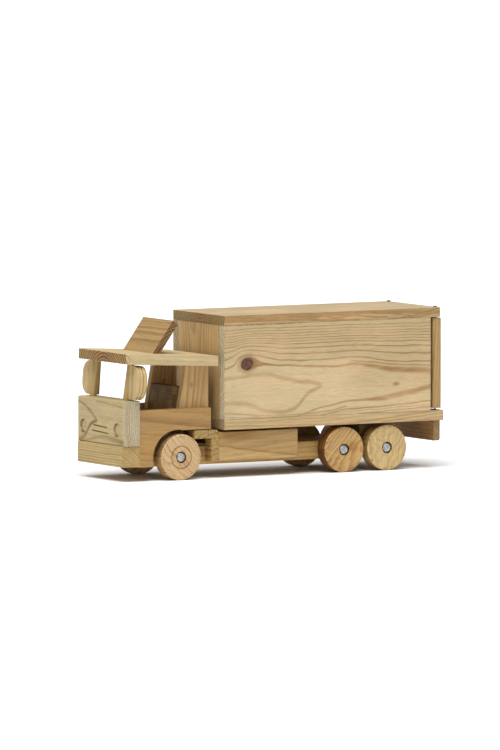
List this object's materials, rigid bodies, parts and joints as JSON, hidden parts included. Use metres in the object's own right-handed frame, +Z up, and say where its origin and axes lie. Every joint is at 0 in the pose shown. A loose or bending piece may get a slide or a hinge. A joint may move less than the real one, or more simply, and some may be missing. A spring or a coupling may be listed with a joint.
{
  "type": "push along truck",
  "caption": "Wooden push along toy box truck with swinging rear doors on a closed cargo box, an open-sided cab with wing mirrors and a roof wind deflector, and wooden wheels on steel axles.",
  "frame": {"origin": "ground point under the middle of the truck's length and width", "axes": "+Z up, the cab faces -Y, +Y runs to the rear doors, the truck's left side is +X"},
  "size_m": [0.1444, 0.465, 0.2064],
  "materials": {
    "pine_box": "planed and sanded, unvarnished",
    "pine_honey": "planed and sanded, unvarnished",
    "pine_cab": "planed and sanded, unvarnished",
    "pine_green": "planed and sanded, unvarnished",
    "pine_under": "planed and sanded, unvarnished",
    "wheel_wood": "planed and sanded, unvarnished",
    "steel": "plain zinc-grey steel",
    "nail_steel": "plain zinc-grey steel"
  },
  "bodies": {
    "truck": {"box_side_left": "pine_box", "box_side_right": "pine_box", "floor_board": "pine_box", "box_roof": "pine_box", "box_front_wall": "pine_honey", "b_post_left": "pine_honey", "b_post_right": "pine_honey", "seat_board": "pine_honey", "wind_deflector": "pine_honey", "a_post_left": "pine_honey", "a_post_right": "pine_honey", "wing_mirror_left": "pine_honey", "wing_mirror_right": "pine_honey", "cab_side_left": "pine_cab", "cab_side_right": "pine_cab", "cab_roof": "pine_cab", "front_panel": "pine_green", "bumper": "pine_green", "mudguard_left": "pine_green", "mudguard_right": "pine_green", "chassis": "pine_under", "spacer_front": "pine_under", "spacer_rear": "pine_under", "tank_left": "pine_under", "tank_right": "pine_under", "rear_crossboard": "pine_under", "axle_front": "steel", "axle_mid": "steel", "axle_rear": "steel", "axle_caps": "steel", "hinge_nails": "nail_steel"},
    "wheel_front_left": {"wheel_front_left": "wheel_wood"},
    "wheel_front_right": {"wheel_front_right": "wheel_wood"},
    "wheel_mid_left": {"wheel_mid_left": "wheel_wood"},
    "wheel_mid_right": {"wheel_mid_right": "wheel_wood"},
    "wheel_rear_left": {"wheel_rear_left": "wheel_wood"},
    "wheel_rear_right": {"wheel_rear_right": "wheel_wood"},
    "door_left": {"door_left": "pine_honey"},
    "door_right": {"door_right": "pine_honey"}
  },
  "joints": [
    {"name": "front_left_wheel_spin", "type": "hinge", "parent": "truck", "child": "wheel_front_left", "pos_m": [0.05225, -0.1485, 0.029], "axis": [1, 0, 0], "continuous": true},
    {"name": "front_right_wheel_spin", "type": "hinge", "parent": "truck", "child": "wheel_front_right", "pos_m": [-0.05225, -0.1485, 0.029], "axis": [1, 0, 0], "continuous": true},
    {"name": "mid_left_wheel_spin", "type": "hinge", "parent": "truck", "child": "wheel_mid_left", "pos_m": [0.05225, 0.0885, 0.029], "axis": [1, 0, 0], "continuous": true},
    {"name": "mid_right_wheel_spin", "type": "hinge", "parent": "truck", "child": "wheel_mid_right", "pos_m": [-0.05225, 0.0885, 0.029], "axis": [1, 0, 0], "continuous": true},
    {"name": "rear_left_wheel_spin", "type": "hinge", "parent": "truck", "child": "wheel_rear_left", "pos_m": [0.05225, 0.1515, 0.029], "axis": [1, 0, 0], "continuous": true},
    {"name": "rear_right_wheel_spin", "type": "hinge", "parent": "truck", "child": "wheel_rear_right", "pos_m": [-0.05225, 0.1515, 0.029], "axis": [1, 0, 0], "continuous": true},
    {"name": "door_left_hinge", "type": "hinge", "parent": "truck", "child": "door_left", "pos_m": [0.05775, 0.22425, 0.1339], "axis": [0, 0, -1], "range_deg": [-30, 200]},
    {"name": "door_right_hinge", "type": "hinge", "parent": "truck", "child": "door_right", "pos_m": [-0.05775, 0.22425, 0.1339], "axis": [0, 0, 1], "range_deg": [-30, 200]}
  ]
}
